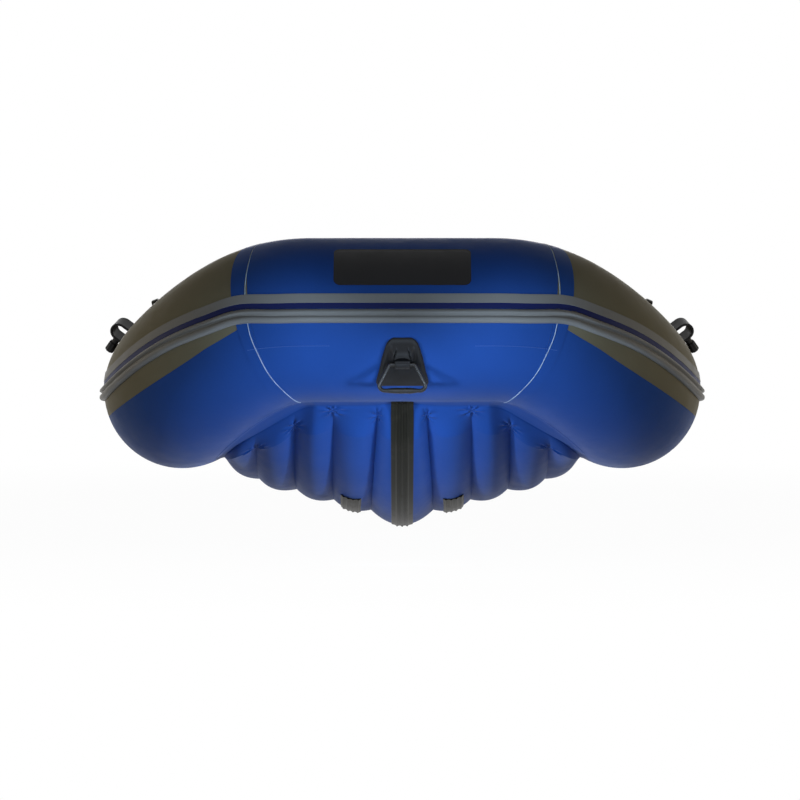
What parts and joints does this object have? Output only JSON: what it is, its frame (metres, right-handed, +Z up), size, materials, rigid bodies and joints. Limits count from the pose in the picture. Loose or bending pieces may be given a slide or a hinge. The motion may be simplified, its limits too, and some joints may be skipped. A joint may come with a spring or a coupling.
{
  "type": "inflatable boat",
  "caption": "Inflatable rowing and motor dinghy with a U-shaped tube, raised bow, lobed inflatable V floor, plywood transom, sliding benches and swivelling rowlocks.",
  "frame": {"origin": "middle of the boat's length and beam, at the level of the keel guard's underside", "axes": "+Z up, -Y towards the bow, +X to port"},
  "size_m": [1.7076, 3.2005, 0.7916],
  "materials": {
    "blue_fabric": "smooth PVC-coated fabric, satin",
    "grey_fabric": "smooth PVC-coated fabric, satin",
    "band_grey": "extruded PVC, satin",
    "floor_grey": "PVC-coated fabric, matt",
    "black_pvc": "moulded or extruded black PVC, satin",
    "black_plastic": "moulded black plastic, satin",
    "plywood": "varnished waterproof plywood"
  },
  "bodies": {
    "hull": {"bow_handle_base": "black_pvc", "bow_tube": "blue_fabric", "bow_valve_body": "black_plastic", "carrying_grip_port": "black_pvc", "carrying_grip_starboard": "black_pvc", "chamber_bulkhead_port": "floor_grey", "chamber_bulkhead_starboard": "floor_grey", "cheek_panel_lower_port": "blue_fabric", "cheek_panel_lower_starboard": "blue_fabric", "cheek_panel_upper_port": "grey_fabric", "cheek_panel_upper_starboard": "grey_fabric", "drain_socket": "black_plastic", "floor_bottom_skin": "blue_fabric", "floor_top_skin": "floor_grey", "floor_valve_body": "black_plastic", "keel_guard": "black_pvc", "motor_pad": "black_pvc", "port_valve_body": "black_plastic", "rowlock_base_port": "black_plastic", "rowlock_base_starboard": "black_plastic", "rub_strake_bow": "band_grey", "rub_strake_port": "band_grey", "rub_strake_starboard": "band_grey", "seat_track_port": "black_pvc", "seat_track_starboard": "black_pvc", "side_panel_lower_port": "blue_fabric", "side_panel_lower_starboard": "blue_fabric", "side_panel_upper_port": "grey_fabric", "side_panel_upper_starboard": "grey_fabric", "skid_port": "black_pvc", "skid_starboard": "black_pvc", "starboard_valve_body": "black_plastic", "stern_cone_port": "blue_fabric", "stern_cone_starboard": "blue_fabric", "transom_board": "plywood", "transom_holder_port": "black_pvc", "transom_holder_starboard": "black_pvc", "upper_band_bow": "band_grey", "upper_band_port": "band_grey", "upper_band_starboard": "band_grey"},
    "bow_ring": {"bow_handle_ring": "black_plastic"},
    "yoke_port": {"rowlock_yoke_port": "black_plastic"},
    "knob_port": {"rowlock_knob_port": "black_plastic"},
    "yoke_starboard": {"rowlock_yoke_starboard": "black_plastic"},
    "knob_starboard": {"rowlock_knob_starboard": "black_plastic"},
    "rower_seat": {"rower_bench": "plywood", "rower_slider_port": "black_plastic", "rower_slider_starboard": "black_plastic"},
    "stern_seat": {"stern_bench": "plywood", "stern_slider_port": "black_plastic", "stern_slider_starboard": "black_plastic"},
    "bow_poppet": {"bow_valve_poppet": "black_plastic"},
    "bow_cap": {"bow_valve_cap": "black_plastic"},
    "port_poppet": {"port_valve_poppet": "black_plastic"},
    "port_cap": {"port_valve_cap": "black_plastic"},
    "starboard_poppet": {"starboard_valve_poppet": "black_plastic"},
    "starboard_cap": {"starboard_valve_cap": "black_plastic"},
    "floor_poppet": {"floor_valve_poppet": "black_plastic"},
    "floor_cap": {"floor_valve_cap": "black_plastic"},
    "plug": {"drain_plug": "black_plastic"}
  },
  "joints": [
    {"name": "bow_ring_hinge", "type": "hinge", "parent": "hull", "child": "bow_ring", "pos_m": [0, -1.57447, 0.47178], "axis": [-1, 0, 0], "range_deg": [-35, 150]},
    {"name": "yoke_swivel_port", "type": "hinge", "parent": "hull", "child": "yoke_port", "pos_m": [0.772, -0.38, 0.52341], "axis": [0.8039, 0, 0.5948], "continuous": true},
    {"name": "knob_turn_port", "type": "hinge", "parent": "yoke_port", "child": "knob_port", "pos_m": [0.82522, -0.37376, 0.50865], "axis": [0.5434, 0.4067, -0.7344], "continuous": true},
    {"name": "yoke_swivel_starboard", "type": "hinge", "parent": "hull", "child": "yoke_starboard", "pos_m": [-0.772, -0.38, 0.52341], "axis": [-0.8039, 0, 0.5948], "continuous": true},
    {"name": "knob_turn_starboard", "type": "hinge", "parent": "yoke_starboard", "child": "knob_starboard", "pos_m": [-0.82522, -0.37376, 0.50865], "axis": [-0.5434, 0.4067, -0.7344], "continuous": true},
    {"name": "rower_seat_slide", "type": "slide", "parent": "hull", "child": "rower_seat", "axis": [0, 1, 0], "range_m": [-0.5, 0.1]},
    {"name": "stern_seat_slide", "type": "slide", "parent": "hull", "child": "stern_seat", "axis": [0, 1, 0], "range_m": [-0.15, 0.12]},
    {"name": "bow_poppet_press", "type": "slide", "parent": "hull", "child": "bow_poppet", "axis": [0, -0.7071, -0.7071], "range_m": [0, 0.006], "stiffness_N_per_m": 200, "springref_m": -0.002},
    {"name": "bow_cap_hinge", "type": "hinge", "parent": "hull", "child": "bow_cap", "pos_m": [0.03, -1.22518, 0.73351], "axis": [0, 0.7071, -0.7071], "range_deg": [0, 120]},
    {"name": "port_poppet_press", "type": "slide", "parent": "hull", "child": "port_poppet", "axis": [0.7071, 0, -0.7071], "range_m": [0, 0.006], "stiffness_N_per_m": 200, "springref_m": -0.002},
    {"name": "port_cap_hinge", "type": "hinge", "parent": "hull", "child": "port_cap", "pos_m": [0.43948, 1.015, 0.54151], "axis": [-0.7071, 0, -0.7071], "range_deg": [0, 120]},
    {"name": "starboard_poppet_press", "type": "slide", "parent": "hull", "child": "starboard_poppet", "axis": [-0.7071, 0, -0.7071], "range_m": [0, 0.006], "stiffness_N_per_m": 200, "springref_m": -0.002},
    {"name": "starboard_cap_hinge", "type": "hinge", "parent": "hull", "child": "starboard_cap", "pos_m": [-0.43948, 1.015, 0.54151], "axis": [-0.7071, 0, 0.7071], "range_deg": [0, 120]},
    {"name": "floor_poppet_press", "type": "slide", "parent": "hull", "child": "floor_poppet", "axis": [0, 0, -1], "range_m": [0, 0.006], "stiffness_N_per_m": 200, "springref_m": -0.002},
    {"name": "floor_cap_hinge", "type": "hinge", "parent": "hull", "child": "floor_cap", "pos_m": [0, 0.93, 0.29739], "axis": [-1, 0, 0], "range_deg": [0, 120]},
    {"name": "drain_plug_turn", "type": "hinge", "parent": "hull", "child": "plug", "pos_m": [0.13, 1.07458, 0.32769], "axis": [0, -0.9962, 0.0872], "continuous": true}
  ]
}
